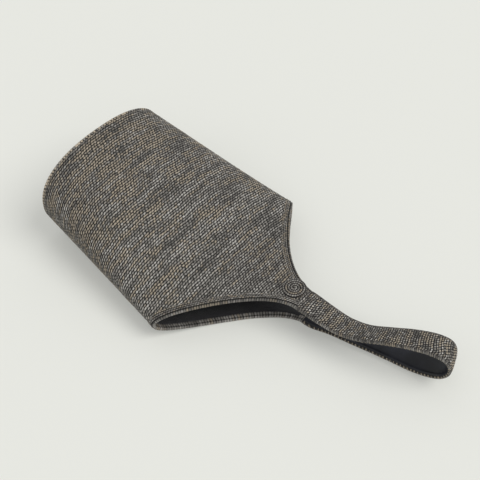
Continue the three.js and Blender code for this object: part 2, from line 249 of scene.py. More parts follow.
def section(angle, along, side=1.0):
    """The bag's outer face: a superellipse whose half width and depth change along the tube.

    The angle is 0 at the side fold, a quarter turn at the front's middle and minus a quarter
    turn at the back's. Across is the cosine to a power, up is the sine to the same power, and
    the back is pressed flat at the surface it lies on. side -1 mirrors it to the other fold.
    """
    cosine, sine = np.cos(angle), np.sin(angle)
    power = 2 / SECTION_POWER
    across = half_width(along) * np.sign(cosine) * np.abs(cosine) ** power
    middle = half_depth(along) - RESTING_FLAT
    edge = np.where(sine > 0, front_height(along), back_height(along))
    lean = np.where(sine > 0, FRONT_LEAN, BACK_LEAN) * smooth(tongue_share(along))
    up = np.maximum(middle + (edge - middle) * np.abs(sine) ** power, 0)
    return grid(side * across + lean, Y_BASE - along, up)


def outward(angle, along, side=1.0):
    """The normal in the plane of the section, from two near points."""
    way = section(angle + SMALL_ANGLE, along, side) - section(angle - SMALL_ANGLE, along, side)
    return unit(grid(way[..., 2], 0.0, -way[..., 0])) * side


def ripple(angle, along, sag):
    """How the soft front swells and sinks: three slow waves that fade out at the base, the
    side folds, the back and the strap."""
    waves = np.sin(2.3 * angle + along / 0.043 + 0.6)
    waves = waves + 0.7 * np.sin(3.7 * angle - along / 0.031 + 2.1)
    waves = waves + 0.5 * np.sin(along / 0.019 + 5 * angle)
    ends = smooth(along / 0.06) * smooth((NECK_AT - 0.05 - along) / 0.08)
    return sag * waves * ends * smooth(np.sin(angle) / 0.7)


class Section:
    """Angles by share of the way round. Share 0 is the side fold and 1 the other one."""

    def __init__(self):
        self.along = np.linspace(0, NECK_AT + 0.01, 180)
        self.share = np.linspace(0, 1, 1201)
        angle = np.pi * (0.5 - 0.5 * np.cos(np.pi * np.linspace(0, 1, 1601)))
        inside = np.clip(angle, SMALL_ANGLE, np.pi - SMALL_ANGLE)
        self.angle = {}
        for sign in (1, -1):
            length = travelled(section(sign * inside, self.along[:, None]), axis=1)
            length = length / length[:, -1:]
            self.angle[sign] = np.array([np.interp(self.share, row, angle) for row in length])

    def line_at(self, share, lines):
        """Where a share falls among a table's lines, always with one more line after it."""
        return np.clip(share * (len(lines) - 1), 0, len(lines) - 1.001)

    def angle_at(self, place, along):
        """place runs from -1 to 1: over the front above 0 and under the back below it."""
        place, along = np.broadcast_arrays(place, along)
        row = self.line_at(along / self.along[-1], self.along)
        column = self.line_at(np.abs(place), self.share)
        i, j = row.astype(int), column.astype(int)
        found = []
        for sign in (1, -1):
            table = self.angle[sign]
            near = mix(table[i, j], table[i, j + 1], column - j)
            far = mix(table[i + 1, j], table[i + 1, j + 1], column - j)
            found.append(mix(near, far, row - i))
        return np.where(place >= 0, found[0], -found[1])

    def share_at(self, angle, along, sign):
        """The share of the way round at which each row reaches its angle."""
        rows = np.round(self.line_at(along / self.along[-1], self.along)).astype(int)
        table = self.angle[sign][rows]
        return np.array([np.interp(a, row, self.share) for a, row in zip(angle, table)])


SECTION = Section()


def skin(place, along, height, side=1.0, sag=0.0):
    """A point over the bag's outer face at a place round it, lifted by a height."""
    angle = SECTION.angle_at(place, along)
    lift = height + ripple(angle, along, sag)
    return section(angle, along, side) + outward(angle, along, side) * lift[..., None]


def rim_line(t):
    """The rim's half width and its distance from the base, for a t of 0 at the neck and 1 at
    the side fold: the width grows with the square of t, and the distance falls by its power."""
    width = mix(NARROW_HALF, MOUTH_HALF_WIDTH, t * t)
    return width, NECK_AT - (TONGUE_LENGTH + EDGE_WIDTH) * t**RIM_CURVE


def rim_angle(width):
    return np.arccos(np.clip(width / MOUTH_HALF_WIDTH, 0, 1) ** (SECTION_POWER / 2))


def rim_share_on_rows(along, sign):
    """How far in from the side fold the tongue's rim lies on each row."""
    share = np.clip((NECK_AT - along) / (TONGUE_LENGTH + EDGE_WIDTH), 0, 1)
    width = rim_line(share ** (1 / RIM_CURVE))[0]
    return SECTION.share_at(rim_angle(width), along, sign)


# ---- stitches ----
def own_number(cell, row):
    """A number from 0 to 1 that is always the same for one stitch and unlike its neighbours'."""
    return np.mod(np.sin(cell * 12.9898 + row * 78.233) * 43758.5453, 1)


def stitch_lift(stitches, rows):
    """How high a stitch stands, from 0 in the gaps to about 1 on its crown.

    Every second row is moved half a stitch. In a stitch the height is the sine across the row
    times the sine along it, each to a power that keeps the crown broad. The stitch leans, and
    its own number gives it a share of 0.8 to 1.15 of that height.
    """
    row = np.floor(rows + NUDGE)
    t = np.clip(rows - row, 0, 1)
    a = stitches + 0.5 * np.mod(row, 2) + LEAN * (t - 0.5)
    own = own_number(np.floor(a + NUDGE), row)
    return humps(t, 0.8) * mix(0.45, 1.0, humps(a)) * mix(0.8, 1.15, own)


def drift(stitches, rows):
    """How far handwork strays: each row wavers along itself, and the stitches of neighbouring
    rows slide past each other. Both are sums of three slow sines, in stitches and in rows."""
    s, r = stitches, rows
    slide = 0.22 * np.sin(0.21 * r + 0.04 * s) + 0.14 * np.sin(0.63 * r - 0.07 * s + 2.0)
    slide = slide + 0.09 * np.sin(1.7 * r + 0.13 * s)
    waver = 0.17 * np.sin(0.31 * s + 0.05 * r + 1.3) + 0.11 * np.sin(0.83 * s - 0.11 * r + 0.4)
    waver = waver + 0.03 * np.sin(2.4 * r + 0.05 * s)
    return slide, waver


# ---- meshes ----
def add_mesh(name, points, faces, uv=None, smooth_faces=None, uv_faces=None):
    """A mesh object at the origin from an array of points and lists of faces. Where a seam's
    stitch coordinates differ from side to side, uv_faces numbers them corner by corner."""
    mesh = bpy.data.meshes.new(name)
    loops = np.concatenate([f.ravel() for f in faces])
    sizes = np.concatenate([np.full(len(f), f.shape[1]) for f in faces])
    starts = np.concatenate([[0], np.cumsum(sizes)[:-1]])
    mesh.vertices.add(len(points))
    mesh.vertices.foreach_set("co", np.asarray(points, np.float32).ravel())
    mesh.loops.add(len(loops))
    mesh.loops.foreach_set("vertex_index", loops.astype(np.int32))
    mesh.polygons.add(len(sizes))
    mesh.polygons.foreach_set("loop_start", starts.astype(np.int32))
    rounded = smooth_faces or [True] * len(faces)
    rounded = np.concatenate([np.full(len(f), s) for f, s in zip(faces, rounded)])
    mesh.polygons.foreach_set("use_smooth", rounded)
    mesh.update(calc_edges=True)
    if uv is not None:
        layer = mesh.uv_layers.new(name="stitches")
        corners = loops if uv_faces is None else np.concatenate([f.ravel() for f in uv_faces])
        layer.data.foreach_set("uv", np.asarray(uv, np.float32)[corners].ravel())
    mesh.validate()
    thing = bpy.data.objects.new(name, mesh)
    bpy.context.scene.collection.objects.link(thing)
    return thing


def face_out(thing):
    """Turns a closed piece's faces outwards if its volume comes out negative."""
    mesh = thing.data
    places = np.zeros(len(mesh.vertices) * 3)
    mesh.vertices.foreach_get("co", places)
    mesh.calc_loop_triangles()
    corners = np.zeros(len(mesh.loop_triangles) * 3, np.int32)
    mesh.loop_triangles.foreach_get("vertices", corners)
    a, b, c = (places.reshape(-1, 3)[corners.reshape(-1, 3)[:, k]] for k in range(3))
    if np.einsum("ij,ij->", a, np.cross(b, c)) < 0:
        mesh.flip_normals()
    return thing


def quads(rows, columns, start=0, turn=False):
    """The quads of a grid of points whose index runs along the columns first."""
    first = start + np.arange(rows - 1)[:, None] * columns + np.arange(columns - 1)
    made = first.reshape(-1, 1) + [0, 1, columns + 1, columns]
    return made[:, ::-1] if turn else made


def seam(many, few, turn=False):
    """Triangles between two lines of points that have the same ends but unlike counts."""
    place = np.round(np.linspace(0, len(few) - 1, len(many) - 1)).astype(int)
    wide = grid(many[:-1], many[1:], few[place])
    change = np.nonzero(np.diff(place))[0]
    narrow = grid(few[place[change]], many[change + 1], few[place[change] + 1])
    made = np.concatenate([wide, narrow])
    return made[:, ::-1] if turn else made


def slab(name, outer, inner, uv_outer, uv_inner):
    """A closed sheet. The outer face is a fine grid, the inner one has fewer rows and as many
    columns, and four strips join their edges."""
    rows, columns = outer.shape[:2]
    few = inner.shape[0]
    start = rows * columns
    near = np.arange(columns)
    ends = []
    for top, turn in ((near, True), (near + (rows - 1) * columns, False)):
        low = near + start + (0 if turn else (few - 1) * columns)
        ring = grid(top[:-1], top[1:], low[1:], low[:-1])
        ends.append(ring[:, ::-1] if turn else ring)
    sides = []
    for column, turn in ((0, False), (columns - 1, True)):
        many, less = (np.arange(count) * columns + column for count in (rows, few))
        sides.append(seam(many, less + start, turn))
    faces = [quads(rows, columns), quads(few, columns, start, turn=True), *ends, *sides]
    points = np.concatenate([outer.reshape(-1, 3), inner.reshape(-1, 3)])
    uv = np.concatenate([uv_outer.reshape(-1, 2), uv_inner.reshape(-1, 2)])
    return face_out(add_mesh(name, points, faces, uv, [True, True, False, False, False, False]))


def swept(name, points, uv, closed=False):
    """A closed solid from rings of points, rows along the path and columns round the ring.

    The last column repeats the first, and so does the last row of a closed path: they are one
    line of points, with stitch coordinates that run on past it."""
    rows, columns = points.shape[:2]
    kept_rows, kept = rows - closed, columns - 1
    i, j = np.indices((rows, columns))
    weld = ((i % kept_rows) * kept + j % kept).ravel()
    wide = quads(rows, columns)
    flat = points[:kept_rows, :kept].reshape(-1, 3)
    uv = uv.reshape(-1, 2)
    if closed:
        return face_out(add_mesh(name, flat, [weld[wide]], uv, [True], [wide]))
    j = np.arange(kept)
    middle, last = len(uv), (rows - 1) * columns
    first_cap, last_cap = grid(middle, j + 1, j), grid(middle + 1, last + j, last + j + 1)
    weld = np.concatenate([weld, [len(flat), len(flat) + 1]])
    flat = np.concatenate([flat, [points[0, :-1].mean(0), points[-1, :-1].mean(0)]])
    uv = np.concatenate([uv, uv[:1], uv[last : last + 1]])
    corners = [wide, first_cap, last_cap]
    faces = [weld[c] for c in corners]
    return face_out(add_mesh(name, flat, faces, uv, [True, False, False], corners))


# ---- the strap's path ----
def loop_points():
    """The two ends on the tongues, each with a short square start, and the loop between."""
    ends = np.array(
        [
            [FRONT_LEAN, Y_NECK, FRONT_NECK_HEIGHT - STRAP_THICKNESS / 2],
            [BACK_LEAN, Y_NECK, BACK_NECK_HEIGHT + STRAP_THICKNESS / 2],
        ]
    )
    square = ends - [0, SQUARE_START, 0]
    reach, drifted, up = np.array(UPPER_SHAPE + LOWER_SHAPE).T
    far = grid(LOOP_DRIFT * drifted, Y_NECK - LOOP_REACH * reach, LOOP_HEIGHT * up)
    return np.concatenate([ends[:1], square[:1], far, square[1:], ends[1:]])


def through(points, steps):
    """A smooth line through points. Between two of them it is the cubic whose end slopes come
    from their neighbours, each span timed by the square root of its length."""
    ends = np.stack([2 * points[0] - points[1], 2 * points[-1] - points[-2]])
    padded = np.concatenate([ends[:1], points, ends[1:]])
    span = np.linalg.norm(np.diff(padded, axis=0), axis=1) ** 0.5
    p0, p1, p2, p3 = (padded[k : len(padded) - 3 + k] for k in range(4))
    d0, d1, d2 = (span[k : len(span) - 2 + k, None] for k in range(3))
    slope1 = ((p1 - p0) / d0 - (p2 - p0) / (d0 + d1) + (p2 - p1) / d1) * d1
    slope2 = ((p2 - p1) / d1 - (p3 - p1) / (d1 + d2) + (p3 - p2) / d2) * d1
    t = np.linspace(0, 1, steps, endpoint=False)[None, :, None]
    line = cubic(t, *(v[:, None, :] for v in (p1, p2, slope1, slope2)))
    return np.concatenate([line.reshape(-1, 3), points[-1:]])


class Loop:
    """The strap's middle line and its frame, by distance from the front tongue."""

    def __init__(self):
        self.line = through(loop_points(), 60)
        self.distance = travelled(self.line)
        self.length = self.distance[-1]

    def steps(self, count):
        """Even distances from one end to the other, a hair short of the tongues."""
        return np.linspace(LOOP_END_GAP, self.length - LOOP_END_GAP, count)

    def near_ends(self, distance, reach):
        """1 on the tongues, and 0 from some way off them."""
        return smooth(1 - np.minimum(distance, self.length - distance) / reach)[:, None]

    def at(self, distance):
        return grid(*(np.interp(distance, self.distance, part) for part in self.line.T))

    def frame(self, distance):
        """Middle, across and out at each distance. Across turns a little and turns back."""
        share = distance / self.length
        heading = FAR_HEADING * np.sin(np.pi * share) ** 2
        roll = np.where(share < 0.5, TWIST_UP, TWIST_DOWN) * np.sin(2 * np.pi * share) ** 2
        step = 0.0012
        ahead = self.at(np.minimum(distance + step, self.length))
        along = unit(ahead - self.at(np.maximum(distance - step, 0)))
        level = np.cos(roll)
        across = grid(np.cos(heading) * level, np.sin(heading) * level, np.sin(roll))
        across = unit(across - np.einsum("ij,ij->i", across, along)[:, None] * along)
        return self.at(distance), across, np.cross(along, across)

    def ring(self, distance, side, rise):
        """Points round the strap: each has its place across the strap and its height out."""
        middle, across, out = self.frame(distance)
        return middle[:, None] + across[:, None] * side[..., None] + out[:, None] * rise[..., None]


LOOP = Loop()


# ---- shader nodes ----
class Value:
    """What a shader works out, in its tree. A sign or a calc on it adds one Math node."""

    def __init__(self, socket):
        self.socket = socket
        self.tree = socket.id_data

    def calc(self, operation, other=0.0):
        made = node(self.tree, "ShaderNodeMath", {"operation": operation}, i0=self, i1=other)
        return Value(made.outputs[0])

    def __add__(self, other):
        return self.calc("ADD", other)

    def __sub__(self, other):
        return self.calc("SUBTRACT", other)

    def __mul__(self, other):
        return self.calc("MULTIPLY", other)


def node(tree, kind, settings=None, **inputs):
    """One shader node. Inputs that are values or sockets are linked, and others are set. An
    input is called by its name, or by i and its number."""
    made = tree.nodes.new(kind)
    for name, value in (settings or {}).items():
        setattr(made, name, value)
    for name, value in inputs.items():
        key = int(name[1:]) if name[0] == "i" and name[1:].isdigit() else name.replace("_", " ")
        socket = made.inputs[key]
        if isinstance(value, Value):
            value = value.socket
        if isinstance(value, bpy.types.NodeSocket):
            tree.links.new(value, socket)
        else:
            socket.default_value = value
    return made


def blend_colour(share, low, high):
    kind = {"data_type": "RGBA"}
    return Value(node(share.tree, "ShaderNodeMix", kind, i0=share, i6=low, i7=high).outputs[2])


def tinted(body, tint):
    """One colour times another."""
    kind = {"data_type": "RGBA", "blend_type": "MULTIPLY"}
    return Value(node(body.tree, "ShaderNodeMix", kind, i0=1.0, i6=body, i7=tint).outputs[2])


def ramp(value, low, high, out_low=0.0, out_high=1.0):
    """A smooth step from out_low, where the value is low, to out_high, where it is high."""
    settings = {"interpolation_type": "SMOOTHSTEP"}
    ends = {"From_Min": low, "From_Max": high, "To_Min": out_low, "To_Max": out_high}
    made = node(value.tree, "ShaderNodeMapRange", settings, Value=value, **ends)
    return Value(made.outputs["Result"])


def noise(place, scale, detail=2.0, roughness=0.5):
    inputs = {"Vector": place, "Scale": scale, "Detail": detail, "Roughness": roughness}
    return Value(node(place.tree, "ShaderNodeTexNoise", **inputs).outputs["Fac"])


def vector(x, y, z=0.0):
    return Value(node(x.tree, "ShaderNodeCombineXYZ", X=x, Y=y, Z=z).outputs[0])


def parts(whole):
    split = node(whole.tree, "ShaderNodeSeparateXYZ", Vector=whole)
    return [Value(part) for part in split.outputs]


def object_place(tree):
    return Value(node(tree, "ShaderNodeTexCoord").outputs["Object"])


def stitch_map(tree):
    return Value(node(tree, "ShaderNodeUVMap", {"uv_map": "stitches"}).outputs[0])


def seen_ray(tree):
    """1 where the camera, or a reflection or refraction of its view, looks, and 0 elsewhere."""
    rays = node(tree, "ShaderNodeLightPath").outputs
    seen = Value(rays["Is Camera Ray"]).calc("MAXIMUM", rays["Is Glossy Ray"])
    return seen.calc("MAXIMUM", rays["Is Transmission Ray"])


def shades_of(colour, dark, pale):
    """A colour made darker and paler, as two colours: each of its parts is scaled."""
    return (tuple(min(c * k, 1.0) for c in colour[:3]) + (1.0,) for k in (dark, pale))


def principled(colour, roughness, height, depth, sheen=0.0, metallic=0.0, specular=0.5):
    """The shader that every finish ends in. depth is how many metres a height of 1 stands for."""
    bump = node(height.tree, "ShaderNodeBump", Height=height, Distance=depth, Strength=1.0)
    shader = node(
        height.tree,
        "ShaderNodeBsdfPrincipled",
        Base_Color=colour,
        Roughness=roughness,
        Metallic=metallic,
        Specular_IOR_Level=specular,
        Sheen_Weight=sheen,
        Sheen_Roughness=0.5,
        Normal=bump.outputs[0],
    )
    return shader.outputs[0]


# ---- finishes ----
def stitch_places(tree):
    """The mesh's own stitches: the way along in stitches, the rows, row number, share across
    the row, stitch number, share of the stitch, and the leaning way along."""
    along, rows = parts(stitch_map(tree))[:2]
    row, t = rows.calc("FLOOR"), rows.calc("FRACT")
    parity = (row * 0.5).calc("FRACT")
    leaning = (t - 0.5) * LEAN + (along + parity)
    return along, rows, row, t, leaning.calc("FLOOR"), leaning.calc("FRACT"), leaning


def raffia(
    tree,
    tan_share=0.5,
    light=1.0,
    alternate=0.0,
    speckle=0.4,
    uneven=1.1,
    apart=0.6,
    rim_shade=0.0,
):
    """Twisted raffia: each stitch has its own shade, streaks of tan and of pale grey run along
    the rows, the gaps are dark and fine straw lines cross each stitch.

    tan_share is how much straw is tan, light scales the whole, speckle is how much single
    stitches differ, uneven how much the gaps do, and apart how deeply the stitches of a row
    are parted. alternate colours the wraps of an edge's inner side by turns, and the rim
    setting darkens the row that goes round the rim: painted shade where it catches the light.
    """
    dark, grey, pale, tan, gap = map(chosen_colour, ("dark", "grey", "pale", "tan", "gap"))
    along, rows, row, t, cell, a, leaning = stitch_places(tree)
    place = object_place(tree)
    toward_base = parts(place)[1]
    spot, kind = vector(cell, row, 3.0), {"noise_dimensions": "3D"}
    random = node(tree, "ShaderNodeTexWhiteNoise", kind, Vector=spot).outputs
    shade, warmth = Value(random["Value"]), parts(Value(random["Color"]))[1]
    long_streak = noise(vector(along * 0.09, row * 0.6), 1.0)
    tan_streak = noise(vector(along * 0.10, row * 0.4, 4.0), 1.0)
    band = noise(vector(along * 0.04, rows * 0.21, 9.5), 1.0, 3.0)
    patch = noise(place, 17.0)
    # grey straw, from dark to pale
    paleness = shade * speckle + long_streak * 1.2 - (speckle / 2 + 0.2) + band * 0.9
    # darker towards the tongues, and darker again towards the base as painted shade on the tube
    # where the lamps light it most
    paleness = paleness + ramp(toward_base, -0.2, -0.06, -0.08, 0.04)
    paleness = paleness + ramp(toward_base, -0.05, 0.09, 0.0, -0.16)
    body = blend_colour(ramp(paleness, 0.4, 0.9), dark, grey)
    body = blend_colour(ramp(paleness, 0.78, 1.15), body, pale)
    # tan straw in streaks, more of it in some patches and towards the base
    tanness = patch * 0.7 + tan_streak * 1.6 + warmth * 0.35
    tanness = tanness + ramp(toward_base, -0.22, 0.06, -0.15, 0.13)
    tan_mask = ramp(tanness, 1.45 - 0.3 * tan_share, 1.71 - 0.3 * tan_share)
    body = blend_colour(tan_mask * 0.8, body, tan)
    if alternate:
        odd = (cell * 0.5).calc("FRACT").calc("GREATER_THAN", 0.25)
        inner_side = ramp(rows, 0.5, 0.38) * alternate
        body = blend_colour(inner_side, body, blend_colour(odd, gap, tan))
        light = inner_side * 0.25 + light
    # painted shade: the rounded row round the rim is darkened where it catches the light
    if rim_shade:
        light = ramp(rows, 2.9, 3.15) * -rim_shade + light
    # fine straw lines along each stitch
    fibre = noise(vector(leaning * 1.3, rows * 11.0, 1.7), 1.6, 3.0, 0.6)
    ranges = {"i0": (0.72, 1.22), "i1": (0.72, 1.2), "i2": (0.74, 1.16)}
    lines = {part: ramp(fibre, 0.3, 0.7, *ends) for part, ends in ranges.items()}
    lines = node(tree, "ShaderNodeCombineColor", **lines).outputs[0]
    body = tinted(body, lines)
    # gaps, some wide and some nearly closed
    holes = noise(vector(along * 1.3, rows * 1.3, 6.0), 1.0, 1.0)
    spread = holes * uneven - uneven / 2
    hump, swell = ((v * math.pi).calc("SINE").calc("POWER", 0.7) for v in (t, a))
    crown = hump * (swell * apart + (1 - apart))
    body = blend_colour(ramp(crown + spread, 0.36, 0.98), gap, body)
    bright = node(tree, "ShaderNodeHueSaturation", Color=body, Value=light).outputs[0]
    ply = ((leaning * 0.9 + rows * 2.0) * (2 * math.pi)).calc("SINE")
    height = crown * 0.6 + fibre * 0.25 + ply * 0.06
    rough = ramp(fibre, 0.3, 0.75, 0.62, 0.82)
    return principled(bright, rough, height, 0.0007, sheen=0.05, specular=0.3)


def cloth(tree, colour, pitch):
    """Plain woven lining: threads over and under each other, with slubs and faint wear."""
    uv = stitch_map(tree)
    x, y = (part * (math.pi / pitch) for part in parts(uv)[:2])
    warp = x.calc("SINE") * y.calc("SINE")
    slub = noise(vector(x * 0.02, y), 0.9, 3.0)
    worn = noise(uv, 30.0, 3.0)
    dark, pale = shades_of(colour, 0.45, 1.7)
    thread = slub * 0.7 + warp * 0.18 + worn * 0.4
    body = blend_colour(ramp(thread, 0.2, 0.9), dark, pale)
    rough = ramp(worn, 0.3, 0.7, 0.7, 0.9)
    return principled(body, rough, warp * 0.5 + slub, 0.00025, sheen=0.25, specular=0.3)


def leather(tree, colour):
    """Smooth dark facing: fine pebble grain, a soft shine, slight rubbing and glossy edges."""
    place = object_place(tree)
    kind = {"feature": "SMOOTH_F1"}
    pebbles = node(tree, "ShaderNodeTexVoronoi", kind, Vector=place, Scale=900.0)
    wrinkle = noise(place, 260.0, 4.0, 0.6)
    rub = noise(place, 45.0, 3.0)
    dark, pale = shades_of(colour, 0.7, 1.6)
    body = blend_colour(ramp(rub, 0.35, 0.75), dark, pale)
    height = Value(pebbles.outputs["Distance"]) * 0.6 + wrinkle
    across = parts(stitch_map(tree))[0].calc("ABSOLUTE")
    painted = ramp(across, FACING_HALF - 0.0014, FACING_HALF - 0.0008)
    rough = painted * -0.2 + ramp(rub, 0.3, 0.7, 0.3, 0.44)
    return principled(body, rough, height, 0.00008, specular=0.25)


def plain(tree, colour, roughness, metallic, grain):
    """Board and metal: fine grain, faint scratches and a little unevenness in the shine."""
    place = object_place(tree)
    stretched = node(tree, "ShaderNodeMapping", Vector=place, Scale=(1.0, 14.0, 1.0))
    scratch = noise(Value(stretched.outputs[0]), grain, 4.0, 0.65)
    cloud = noise(place, 120.0, 3.0)
    dark, pale = shades_of(colour, 0.7, 1.3)
    body = blend_colour(ramp(scratch * 0.6 + cloud * 0.4, 0.3, 0.7), dark, pale)
    rough = ramp(cloud, 0.3, 0.7, roughness * 0.8, min(roughness * 1.25, 1.0))
    return principled(body, rough, scratch, 0.00003, metallic=metallic)


def paper(tree, colour):
    """The floor: matt with a fine tooth. A share of what the camera sees of it is its own
    light, and the rest keeps the bag's shadow."""
    tooth = noise(object_place(tree), 700.0)
    matt = principled(colour, 0.9, tooth, 0.00002, specular=0.0)
    share = seen_ray(tree) * FLOOR_GLOW
    glow = node(tree, "ShaderNodeEmission", Color=FLOOR_SEEN, Strength=1.0).outputs[0]
    return node(tree, "ShaderNodeMixShader", i0=share, i1=matt, i2=glow).outputs[0]


def material_for(name, finish, *rest, **named):
    """The material of this name, which is made from its finish the first time."""
    found = bpy.data.materials.get(name)
    if found is None:
        found = bpy.data.materials.new(name)
        found.use_nodes = True
        tree = found.node_tree
        tree.nodes.clear()
        node(tree, "ShaderNodeOutputMaterial", Surface=finish(tree, *rest, **named))
    return found


def straw(name):
    return material_for(name, raffia, **STRAWS[name])


def hard(name, colour):
    return material_for(name, plain, colour, *HARD_FINISHES[name])


def dress(thing, material):
    thing.data.materials.clear()
    thing.data.materials.append(material)


def wear(thing, material, slot, *stands_for, body="bag"):
    """Gives a piece its material and its CAD body, and hides the CAD nodes that it stands for. The
    slot is not used.
    """
    dress(thing, material)
    if body is not None:
        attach(thing, body)
    if stands_for:
        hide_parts(*stands_for)


# ---- settings ----
def colour_setting(name, description, *default):
    return bpy.props.FloatVectorProperty(
        name=name,
        description=description,
        default=(*default, 1.0),
        size=4,
        min=0.0,
        max=1.0,
        subtype="COLOR",
    )


def size_setting(name, description, default, most):
    return bpy.props.FloatProperty(
        name=name, description=description, default=default, min=0.0, max=most, unit="LENGTH"
    )


class RaffiaBagColours(bpy.types.PropertyGroup):
    dark: colour_setting("Dark straw", "The darkest raffia", 0.127, 0.121, 0.112)
    grey: colour_setting("Grey straw", "Most of the raffia", 0.284, 0.271, 0.252)
    pale: colour_setting("Pale straw", "The lightest raffia", 0.490, 0.476, 0.450)
    tan: colour_setting("Tan straw", "The warm streaks", 0.43, 0.367, 0.282)
    gap: colour_setting("Gaps", "The shadowed holes between stitches", 0.005, 0.0047, 0.0045)
    lining: colour_setting("Lining", "The cloth inside", 0.010, 0.010, 0.012)
    facing: colour_setting("Strap facing", "The strap's smooth inner face", 0.012, 0.013, 0.018)
    metal: colour_setting("Snap metal", "The snap's dark nickel", 0.30, 0.30, 0.31)
    floor: colour_setting("Floor", "The surface that the bag lies on", 0.80, 0.81, 0.765)


class RaffiaBagSizes(bpy.types.PropertyGroup):
    relief: size_setting("Stitch relief", "How high a stitch stands over the gaps", 0.0008, 0.002)
    sag: size_setting("Sag", "How far the soft front swells and sinks", 0.0006, 0.004)
    edge_relief: size_setting(
        "Edge relief", "How deep the wraps of a whipped edge are", 0.0005, 0.001
    )
    lens: bpy.props.FloatProperty(
        name="Lens",
        description="The camera's focal length in millimetres",
        default=70.0,
        min=20.0,
        max=200.0,
    )


def chosen_colour(name):
    return tuple(getattr(bpy.context.scene.raffia_bag_colours, name))


def chosen_size(name):
    return getattr(bpy.context.scene.raffia_bag_sizes, name)


# ---- pieces ----
class RAFFIABAG_OT_body(bpy.types.Operator):
    """Weave the front and the back of the bag, tongues included"""

    bl_idname = "raffia_bag.body"
    bl_label = "Woven Body"

    inner_rows = 40
    neck_edge = 0.004  # the last stretch, where stitches keep their full height

    def execute(self, context):
        for name, sign in (("woven_front", 1), ("woven_back", -1)):
            wear(self.panel(name, sign), straw("body_straw"), "woven_raffia", "woven_body")
        return {"FINISHED"}

    def shares(self, along, sign):
        """Where each row starts, and even shares of the way from there to its other end."""
        columns = STITCHES_ROUND // 2 * STEPS_PER_STITCH + 1
        inset = rim_share_on_rows(along, sign)[:, None]
        return inset, inset + (1 - 2 * inset) * np.linspace(0, 1, columns)

    def off_ends(self, share, inset, steepness):
        """0 at the two ends of a row and 1 between them."""
        return smooth((share - inset) * steepness) * smooth((1 - inset - share) * steepness)

    def panel(self, name, sign):
        """Rows run across the panel at even distances from the base. Each row goes from one
        side fold, or the rim, to the other, and its points lie at even shares of that way.
        Where the back lies flat on the surface, no stitch sinks into it."""
        relief, sag = chosen_size("relief"), chosen_size("sag")
        along = np.linspace(0, NECK_AT, BODY_ROWS * STEPS_PER_ROW + 1)
        inset, share = self.shares(along, sign)
        along = along[:, None]
        stitches, rows = share * STITCHES_ROUND / 2 * sign, along / ROW
        slide, waver = drift(stitches, rows)
        stray = self.off_ends(share, inset, 30) * smooth(rows / 5) * smooth((BODY_ROWS - rows) / 5)
        strayed = share + sign * slide * stray * 2 / STITCHES_ROUND
        corner = np.maximum(BASE_EDGE_ROUND - along, 0)
        tuck = BASE_EDGE_ROUND - np.sqrt(np.maximum(BASE_EDGE_ROUND**2 - corner**2, 0))
        fade = mix(0.6, 1, self.off_ends(share, inset, 60))
        fade = np.where(along > NECK_AT - self.neck_edge, 1, fade)
        height = relief * (stitch_lift(stitches, rows) - LEVEL) * fade - tuck
        if sign < 0:
            resting = section(SECTION.angle_at(-share, along), along)[..., 2] < 1e-5
            height = np.where(resting, np.minimum(height, 0), height)
        outer = skin(sign * strayed, along + waver * stray * ROW, height, sag=sag)
        few = np.linspace(0, NECK_AT, self.inner_rows)
        share = self.shares(few, sign)[1]
        few = few[:, None]
        inner = skin(sign * share, few, -WEAVE, sag=sag)
        inner_uv = grid(share * STITCHES_ROUND / 2, few / ROW)
        return slab(name, outer, inner, grid(stitches, rows), inner_uv)


